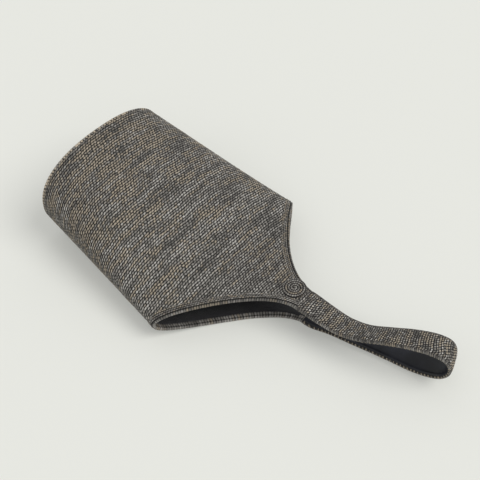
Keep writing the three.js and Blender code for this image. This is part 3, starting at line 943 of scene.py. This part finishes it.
class RAFFIABAG_OT_base(bpy.types.Operator):
    """Weave the oval base in rounds and lay a row of stitches along its edge"""

    bl_idname = "raffia_bag.base"
    bl_label = "Woven Base"

    rounds = 19
    first_round = 0.012  # the share of the way out at which the first round starts
    inside_edge = 0.0012  # the last round stays this far inside the bag's outer face
    face_depth = 0.0006
    rope_radius = 0.0017
    rope_inset = 0.0016  # from the base's corner to the rope's middle
    rope_lowest = 0.0021
    rings_per_wrap = 6

    def execute(self, context):
        wear(self.oval(), straw("body_straw"), "woven_raffia", "woven_base")
        wear(self.edge(), straw("base_edge_straw"), "whipped_edge")
        dress(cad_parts["base_board"], hard("stiff_board", BOARD_COLOUR))
        return {"FINISHED"}

    def oval(self):
        """Rounds grow evenly from a straight line in the middle to the outline. A point is the
        outline's own point moved towards its nearest point on that line."""
        place = np.linspace(-1, 1, STITCHES_ROUND * STEPS_PER_STITCH + 1)
        line = skin(place, 0.0, -self.inside_edge)
        middle, half = (line.max(0) + line.min(0)) / 2, (line.max(0) - line.min(0)) / 2
        x, y, z = line.T
        angle = np.arctan2((z - middle[2]) / BASE_HALF_DEPTH, (x - middle[0]) / BASE_HALF_WIDTH)
        core = grid(middle[0] + (half[0] - half[2]) * np.cos(angle), y, middle[2])
        share = np.linspace(self.first_round, 1, self.rounds * STEPS_PER_ROW + 1)
        face = mix(core, line, share[:, None, None])
        along = travelled(face, axis=1)
        middle_share = (np.floor(share * self.rounds - NUDGE) + 0.5) / self.rounds
        in_round = np.round(np.interp(middle_share, share, along[:, -1]) / STITCH)[:, None]
        stitches = along / along[:, -1:] * in_round
        rows = share[:, None] * self.rounds
        uv = grid(stitches, rows)
        under = slice(None, None, -3 * STEPS_PER_ROW)
        back = face[under].copy()
        lift = chosen_size("relief") * (stitch_lift(stitches, rows) - LEVEL)
        face[..., 1] = Y_BASE - self.face_depth + lift
        back[..., 1] = Y_BASE - WEAVE
        rings, uv = np.concatenate([face, back]), np.concatenate([uv, uv[under]])
        return swept("woven_base_rounds", rings, uv)

    def edge(self):
        """A rope of stitches round the base's edge: a small circle carried along the outline,
        swollen by each wrap."""
        place = np.linspace(-1, 1, STITCHES_ROUND * self.rings_per_wrap + 1)
        turn = np.linspace(-0.75, 1.25, 15) * np.pi
        stitches = ((place + 1) / 2 * STITCHES_ROUND)[:, None]
        swell = humps(stitches + np.sin(turn) * 0.25)
        radius = self.rope_radius + chosen_size("edge_relief") * (swell - 0.5)
        angle = SECTION.angle_at(place, 0.0)
        out = outward(angle, 0.0)
        centre = section(angle, 0.0) - self.rope_inset * out
        centre[:, 1] = Y_BASE - self.rope_inset
        centre[:, 2] = np.maximum(centre[:, 2], self.rope_lowest)
        points = centre[:, None] + out[:, None] * (radius * np.cos(turn))[..., None]
        points[..., 1] += radius * np.sin(turn)
        uv = grid(stitches, 0.5 + (turn / np.pi - 0.25) * 0.4)
        return swept("base_edge_row", points, uv, closed=True)


class RAFFIABAG_OT_lining(bpy.types.Operator):
    """Line the inside of the bag and its base with dark cloth"""

    bl_idname = "raffia_bag.lining"
    bl_label = "Lining"

    thread = 0.0006
    way_round = 0.55
    spread_from = TUBE_LENGTH * 0.84
    pleats = 23
    pleat_depth = 0.0003
    pressed = 0.00115  # how far the cloth comes up to the weave beside the rim
    pressed_from, pressed_over = 0.012, 0.010
    floor_edge = (0.006, 0.0033)  # the floor's outline: distance from the base, and depth
    floor_top, floor_low = 0.0066, 0.0056

    def execute(self, context):
        material = material_for("inner_cloth", cloth, chosen_colour("lining"), self.thread)
        wear(self.wall(), material, "lining_cloth", "body_lining")
        wear(self.floor(), material, "lining_cloth", "base_lining")
        return {"FINISHED"}

    def wall(self):
        """A closed wall inside the weave. Its columns run from the base to the rim, level down
        the tube and then spread, and each goes down the outer face and back up the inner one."""
        narrow = mix(0.0, NARROW_HALF, np.linspace(0, 1, 6)[:-1])
        width, ends = rim_line(np.sin(np.pi / 2 * np.linspace(0, 1, 71)))
        angle = rim_angle(np.concatenate([narrow, width]))
        ends = np.concatenate([np.full(len(narrow), NECK_AT), ends]) - RIM_SETBACK
        down, up = slice(0, -1), slice(None, 0, -1)
        quarters = ((0, 1, up), (np.pi, -1, down), (np.pi, 1, up), (2 * np.pi, -1, down))
        angles = np.concatenate([start + way * angle[part] for start, way, part in quarters])
        ends = np.concatenate([ends[part] for _, _, part in quarters])[:, None]
        level = np.linspace(LINING_START, self.spread_from, 40) + 0 * ends
        spread = mix(self.spread_from, ends, np.linspace(0, 1, 31)[1:])
        along = np.concatenate([level, spread], axis=1)
        turned = angles[:, None]
        pleat = self.pleat_depth * np.sin(angles * self.pleats)[:, None] * smooth(along / 0.1)
        faces = []
        for depth in (WEAVE + LINING_GAP, WEAVE + LINING_GAP + LINING):
            lift = -depth + ripple(turned, along, chosen_size("sag")) - np.abs(pleat)
            near_rim = smooth((along - ends + self.pressed_from) / self.pressed_over)
            lift = lift + self.pressed * near_rim
            faces.append(section(turned, along) + outward(turned, along) * lift[..., None])
        ring = np.concatenate([faces[0], faces[1][:, ::-1], faces[0][:, :1]], axis=1)
        uv = grid(turned / (2 * np.pi) * self.way_round, along)
        uv = np.concatenate([uv, uv[:, ::-1], uv[:, :1]], axis=1)
        ring = np.concatenate([ring, ring[:1]])
        uv = np.concatenate([uv, uv[:1] + [self.way_round, 0]])
        return swept("lining_wall", ring, uv, closed=True)

    def floor(self):
        """An oval sheet over the base board, from its middle out."""
        start, depth = self.floor_edge
        line = skin(np.linspace(-1, 1, 241), start, -depth)
        middle = (line.max(0) + line.min(0)) / 2
        top = mix(middle, line, np.linspace(0.01, 1, 16)[:, None, None])
        low = top[::-1].copy()
        top[..., 1], low[..., 1] = Y_BASE - self.floor_top, Y_BASE - self.floor_low
        rings = np.concatenate([top, low])
        return swept("lining_base", rings, rings[..., [0, 2]])


class RAFFIABAG_OT_rims(bpy.types.Operator):
    """Bind the two sides of the mouth with rows of stitches"""

    bl_idname = "raffia_bag.rims"
    bl_label = "Mouth Edges"

    stitch = 0.0032
    row = 0.0024
    row_height = 0.0010
    row_base = -0.0004
    rows_from, rows_to = -0.0064, 0.0008  # the low rows, as offsets from the rim
    rod_turn = 0.62  # how far round its middle the rounded row goes, in half turns each way
    # the rounded row's half width, depth and middle along the mouth, and those at the neck
    rod = (0.0018, 0.0022, 0.0022)
    neck_rod = (0.0020, STRAP_THICKNESS / 2, 0.0020)
    neck_reach = 0.015
    back_off = (-0.0015, -0.0041, -0.0043, -0.0066, -0.0064)
    back_high = (-0.0046, -0.0046, -0.0030, -0.0012, -0.0004)
    past_neck = 0.009

    def execute(self, context):
        for end, side in (("right", 1.0), ("left", -1.0)):
            band = self.binding(f"mouth_binding_{end}", side)
            wear(band, straw("binding_straw"), "whipped_edge", f"mouth_edge_{end}")
        return {"FINISHED"}

    def binding(self, name, side):
        """A closed band along the rim. Its section has three low rows on the outer face and a
        rounded row that wraps the rim, and it is carried along the rim, square to it."""
        share = np.linspace(0, 1, 801)
        width, along = rim_line(np.sin(np.pi * share))
        front, back = (SECTION.share_at(rim_angle(width), along, sign) for sign in (1, -1))
        place = np.where(share <= 0.5, front, -back)
        # a flat map of the bag near the rim, in metres round and along
        flat = grid(place * self.half_round(along), along)
        length = travelled(flat)
        even = np.linspace(0, length[-1], round(length[-1] / self.stitch) * STEPS_PER_STITCH + 1)
        flat = grid(*(np.interp(even, length, part) for part in flat.T))
        way = unit(np.gradient(flat, axis=0))
        square = grid(way[:, 1], -way[:, 0])
        off, high, rows = self.profile(even)
        spot = flat[:, None] + square[:, None] * off[..., None]
        place, along = spot[..., 0] / self.half_round(spot[..., 1]), spot[..., 1]
        along = np.minimum(along, NECK_AT + self.past_neck)
        points = skin(place, along, high, side, chosen_size("sag"))
        points[..., 2] = np.maximum(points[..., 2], 0)
        return swept(name, points, grid(even[:, None] / self.stitch, rows))

    def half_round(self, along):
        """Half the way round the bag at a distance from the base."""
        places = np.linspace(0, TUBE_LENGTH, 9)
        outline = section(np.linspace(0, np.pi, 400), places[:, None])
        return np.interp(along, places, travelled(outline, axis=1)[:, -1])

    def profile(self, even):
        """Offsets from the rim, positive beyond it, heights over the outer face, and rows:
        three on the face, a fourth round the rim, and its crown's shade on the inside."""
        neck = smooth(1 - np.minimum(even, even[-1] - even) / self.neck_reach)[:, None]
        wide, deep, centre = (mix(*ends, neck) for ends in zip(self.rod, self.neck_rod))
        face = np.linspace(self.rows_from, self.rows_to, 19)
        turn = np.linspace(self.rod_turn, -self.rod_turn, 13) * np.pi
        bump = self.row_height * humps((face - self.rows_from) / self.row, 0.8) + self.row_base
        back = len(self.back_off)
        same = 0 * neck
        off = [face + same, centre + wide * np.cos(turn), self.back_off + same]
        high = [bump + same, deep * (np.sin(turn) - 1), self.back_high + same]
        off, high = np.concatenate(off, axis=1), np.concatenate(high, axis=1)
        rows = np.concatenate([np.linspace(0, 3, 19), np.linspace(3.14, 3.86, 13), [3.5] * back])
        # the face is pushed straight up by its stitches, and the rounded row away from its middle
        outer = np.arange(len(rows)) < len(rows) - back
        rod = outer & (np.arange(len(rows)) >= len(face))
        away = unit(grid(off - centre, high + deep)) * rod[:, None]
        away = away + np.array([0.0, 1.0]) * (outer & ~rod)[:, None]
        lift = stitch_lift(even[:, None] / self.stitch, rows)
        push = chosen_size("edge_relief") * (lift - 0.6) * outer
        return off + away[..., 0] * push, high + away[..., 1] * push, rows


class RAFFIABAG_OT_strap(bpy.types.Operator):
    """Weave the strap, face its inside and whip its edges"""

    bl_idname = "raffia_bag.strap"
    bl_label = "Strap"

    stitch = 0.0034
    row = 0.0028
    wrap = 0.0023
    wrap_lean = 0.35  # how far a wrap leans as it goes round, in wraps
    edge_depth = 0.0020
    neck_reach = 0.02
    overlap = 0.0012  # how far the weave reaches under each whipped edge
    first_stitch = 0.25
    still_ends = 0.01  # the stretch by each tongue in which the rows don't waver
    groove_at, groove_width, groove_depth = 0.003, 0.0006, 0.0003
    roll_at, roll_width, roll_height = 0.0004, 0.0005, 0.0006

    def execute(self, context):
        weave_roots, lining_roots = (
            (f"strap_{layer}_root_front", f"strap_{layer}_root_back")
            for layer in ("weave", "lining")
        )
        face = material_for("facing_leather", leather, chosen_colour("facing"))
        layer, woven = self.weave(), straw("strap_straw")
        self.cover(layer, woven, "woven_raffia", "strap_weave", "strap_core", *weave_roots)
        self.cover(self.facing(), face, "strap_facing", "strap_lining", *lining_roots)
        for end, side in (("right", 1), ("left", -1)):
            whip = self.edge(f"strap_whip_{end}", side)
            self.cover(whip, straw("whipped_straw"), "whipped_edge", f"strap_edge_{end}")
        return {"FINISHED"}

    def cover(self, thing, *finish):
        """Dresses a layer, hides the CAD nodes that it stands for and bakes its place into its
        points.
        """
        wear(thing, *finish, body=None)
        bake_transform(thing)

    def weave(self):
        """A grid of stitches on the loop's outer face, over a plain inner one."""
        rows = round(LOOP.length / self.row)
        distance = LOOP.steps(rows * STEPS_PER_ROW + 1)
        same = 0 * distance[:, None]
        half = NARROW_HALF + self.overlap
        side = np.linspace(-half, half, 45) + same
        stitches = side / self.stitch + self.first_stitch
        number = (distance / distance[-1] * rows)[:, None]
        slide, waver = drift(stitches + 300, number)
        inside = smooth((half - np.abs(side)) / 0.004)
        crown = 0.0004 - 0.0009 * (side / half) ** 4
        lift = chosen_size("relief") * (stitch_lift(stitches, number) - LEVEL)
        face = STRAP_THICKNESS / 2 + lift + crown
        back_side = np.append(np.linspace(half, -half, 5), -half) + same
        back_rise = np.append(np.full(5, -0.0014), 0) + same
        back_rise[:, -1] = face[:, 0]
        strayed = np.concatenate([side + slide * inside * self.stitch, back_side], axis=1)
        ring = LOOP.ring(distance, strayed, np.concatenate([face, back_rise], axis=1))
        across, out = LOOP.frame(distance)[1:]
        ends = smooth(np.minimum(distance, LOOP.length - distance) / self.still_ends)
        shift = waver * inside * ends[:, None] * ROW * 1.4
        ring[:, : side.shape[1]] += np.cross(across, out)[:, None] * shift[..., None]
        uv_side = np.concatenate([side, back_side], axis=1) / self.stitch + self.first_stitch
        return swept("strap_weave_band", ring, grid(uv_side, number))

    def facing(self):
        """A smooth band inside the loop, slightly crowned, with a pressed line near each side
        and a rolled edge that stands a little proud."""
        distance = LOOP.steps(300)
        half = FACING_HALF
        side = half * np.sin(np.linspace(-0.5, 0.5, 37) * np.pi)
        inward = half - np.abs(side)
        crown = 0.0007 * (1 - (side / half) ** 4)
        groove = self.groove_depth * bell((inward - self.groove_at) / self.groove_width)
        roll = self.roll_height * bell((inward - self.roll_at) / self.roll_width)
        low = -0.0021 - crown + groove - roll
        back_side = side[::-6]
        back_rise = np.append(np.full(len(back_side), -0.0015), low[0])
        ring_side = np.concatenate([side, back_side, side[:1]]) + 0 * distance[:, None]
        ring_rise = np.concatenate([low, back_rise]) + 0 * ring_side
        ring = LOOP.ring(distance, ring_side, ring_rise)
        return swept("strap_facing_band", ring, grid(ring_side, distance[:, None]))

    def edge(self, name, side):
        """A whipped edge: an oval carried along the strap's side, pinched between its wraps."""
        distance = LOOP.steps(round(LOOP.length / self.wrap) * 5 + 1)
        turn = np.linspace(0, 2 * np.pi, 15)
        wraps = distance[:, None] / self.wrap + self.wrap_lean * np.sin(turn)
        deep = mix(0.45, 1, smooth(0.5 - np.sin(turn)))
        grow = chosen_size("edge_relief") * (humps(wraps, 0.6) - 0.7) * deep
        half = EDGE_WIDTH / 2
        ring_side = side * (STRAP_WIDTH / 2 - half) + (half + grow) * np.cos(turn)
        depth = mix(self.edge_depth, STRAP_THICKNESS / 2, LOOP.near_ends(distance, self.neck_reach))
        ring = LOOP.ring(distance, ring_side, (depth + grow) * np.sin(turn))
        return swept(name, ring, grid(wraps, 0.5 + 0.3 * np.sin(turn)))


class RAFFIABAG_OT_disc(bpy.types.Operator):
    """Coil the disc that covers the snap on the front tongue"""

    bl_idname = "raffia_bag.disc"
    bl_label = "Coiled Disc"

    coil_width = 0.0033
    stitch = 0.0034
    underside = 0.0003
    ridge_height = 0.0012

    def execute(self, context):
        wear(self.coil(), straw("disc_straw"), "whipped_edge", "coiled_disc")
        return {"FINISHED"}

    def coil(self):
        """A low dome whose height rises and falls once for each turn of a spiral, and once for
        each stitch along it. It follows the tongue's own face underneath."""
        radius = np.linspace(0.0003, DISC_RADIUS, 46)[:, None]
        turn = np.linspace(0, 2 * np.pi, 181)
        spiral = np.maximum(radius / self.coil_width - turn / (2 * np.pi) + 1, 0)
        ring = np.floor(spiral)
        t = spiral - ring
        stitches = (ring + turn / (2 * np.pi)) ** 2 * self.coil_width * np.pi / self.stitch
        bead = mix(0.7, 1, humps(stitches))
        dome = 1 - 0.35 * (radius / DISC_RADIUS) ** 4
        edge = smooth((DISC_RADIUS - radius) / 0.0008)
        high = 0.0004 + (DISC_THICKNESS - self.ridge_height) * dome * mix(0.3, 1, edge)
        high = high + self.ridge_height * humps(t) * bead * edge
        closed = [*range(len(radius)), -1, 20, 0]  # the dome's rings, and three back underneath
        across, down = ((radius * way)[closed] for way in (np.cos(turn), np.sin(turn)))
        height = np.concatenate([high, np.full((3, len(turn)), self.underside)])
        upright = stitches - 0.8 * LEAN * (t - 0.5) - 0.5 * np.mod(ring, 2)
        uv = grid(upright, spiral)[closed]
        return swept("coiled_disc_rounds", self.on_tongue(across, down, height), uv)

    def on_tongue(self, across, down, height):
        """Points over the front tongue round the disc's middle, in metres across and down."""
        middle = NECK_AT - DISC_SETBACK
        along = middle + down
        lean, own_lean = (FRONT_LEAN * smooth(tongue_share(at)) for at in (along, middle))
        width = np.clip((DISC_OFFSET + across + own_lean - lean) / half_width(along), -1, 1)
        angle = np.arccos(np.sign(width) * np.abs(width) ** (SECTION_POWER / 2))
        return section(angle, along) + outward(angle, along) * height[..., None]


class RAFFIABAG_OT_snap(bpy.types.Operator):
    """Finish the snap's metal pieces and its magnet"""

    bl_idname = "raffia_bag.snap"
    bl_label = "Magnetic Snap"

    def execute(self, context):
        metal = hard("dark_nickel", chosen_colour("metal"))
        for name in ("snap_washer_front", "snap_washer_back", "snap_case", "snap_stud"):
            dress(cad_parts[name], metal)
        dress(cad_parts["snap_magnet"], hard("magnet_iron", MAGNET_COLOUR))
        return {"FINISHED"}


class RAFFIABAG_OT_stage(bpy.types.Operator):
    """Lay the floor, light it and place the camera"""

    bl_idname = "raffia_bag.stage"
    bl_label = "Floor, Light and Camera"

    floor_half = 6.0
    camera_back = (-0.5008, -0.4341, 0.7488)
    camera_right = (0.6550, -0.7556, 0.0)
    camera_place = (-0.5683, -0.6266, 0.9353)

    def execute(self, context):
        context.scene.view_settings.view_transform = "Standard"
        self.floor()
        self.sky(context.scene)
        for sun in SUNS:
            self.sun(context.scene, *sun)
        self.camera(context.scene)
        return {"FINISHED"}

    def floor(self):
        """A square just under the bag."""
        corners = np.array([[-1, -1], [1, -1], [1, 1], [-1, 1]]) * self.floor_half
        points = grid(corners[:, 0], corners[:, 1], -0.0002)
        thing = add_mesh("floor", points, [np.array([[0, 1, 2, 3]])])
        dress(thing, material_for("floor_paper", paper, chosen_colour("floor")))

    def sky(self, scene):
        """Even light from all round, which the camera sees in the floor's colour."""
        world = bpy.data.worlds.new("studio")
        world.use_nodes = True
        tree = world.node_tree
        tree.nodes.clear()
        light, wall = (
            node(tree, "ShaderNodeBackground", Color=colour, Strength=strength).outputs[0]
            for colour, strength in ((WHITE, SKY_STRENGTH), (FLOOR_SEEN, 1.0))
        )
        mixed = node(tree, "ShaderNodeMixShader", i0=seen_ray(tree), i1=light, i2=wall)
        node(tree, "ShaderNodeOutputWorld", Surface=mixed.outputs[0])
        scene.world = world

    def sun(self, scene, name, energy, degrees, toward):
        """A wide, even light from far away."""
        lamp = bpy.data.lights.new(name, "SUN")
        lamp.energy = energy
        lamp.angle = math.radians(degrees)
        lamp.color = (1.0, 0.99, 0.97)
        thing = bpy.data.objects.new(name, lamp)
        thing.rotation_mode = "QUATERNION"
        thing.location = Vector(toward).normalized()
        thing.rotation_quaternion = thing.location.to_track_quat("Z", "Y")
        scene.collection.objects.link(thing)

    def camera(self, scene):
        data = bpy.data.cameras.new("photo")
        data.lens = chosen_size("lens")
        data.sensor_width = 36.0
        data.clip_start, data.clip_end = 0.05, 20.0
        thing = bpy.data.objects.new("photo", data)
        back, right = Vector(self.camera_back).normalized(), Vector(self.camera_right).normalized()
        turned = Matrix((right, back.cross(right), back)).transposed().to_4x4()
        thing.matrix_world = Matrix.Translation(Vector(self.camera_place)) @ turned
        scene.collection.objects.link(thing)
        scene.camera = thing


PIECES = (
    RAFFIABAG_OT_body,
    RAFFIABAG_OT_base,
    RAFFIABAG_OT_lining,
    RAFFIABAG_OT_rims,
    RAFFIABAG_OT_strap,
    RAFFIABAG_OT_disc,
    RAFFIABAG_OT_snap,
    RAFFIABAG_OT_stage,
)


class RAFFIABAG_PT_panel(bpy.types.Panel):
    """Sizes, colours and one button for each piece"""

    bl_idname = "RAFFIABAG_PT_panel"
    bl_label = "Raffia Bag"
    bl_space_type = "VIEW_3D"
    bl_region_type = "UI"
    bl_category = "Raffia Bag"

    def draw(self, context):
        for group in (context.scene.raffia_bag_sizes, context.scene.raffia_bag_colours):
            box = self.layout.box()
            for name in group.bl_rna.properties.keys():
                if name not in ("rna_type", "name"):
                    box.prop(group, name)
        for piece in PIECES:
            self.layout.operator(piece.bl_idname)


CLASSES = (RaffiaBagColours, RaffiaBagSizes, *PIECES, RAFFIABAG_PT_panel)


def register():
    for each in CLASSES:
        bpy.utils.register_class(each)
    bpy.types.Scene.raffia_bag_colours = bpy.props.PointerProperty(type=RaffiaBagColours)
    bpy.types.Scene.raffia_bag_sizes = bpy.props.PointerProperty(type=RaffiaBagSizes)


def unregister():
    del bpy.types.Scene.raffia_bag_sizes
    del bpy.types.Scene.raffia_bag_colours
    for each in reversed(CLASSES):
        bpy.utils.unregister_class(each)


def main():
    register()
    bpy.ops.raffia_bag.body()
    bpy.ops.raffia_bag.base()
    bpy.ops.raffia_bag.lining()
    bpy.ops.raffia_bag.rims()
    bpy.ops.raffia_bag.strap()
    bpy.ops.raffia_bag.disc()
    bpy.ops.raffia_bag.snap()
    bpy.ops.raffia_bag.stage()


if __name__ == "__main__":
    main()
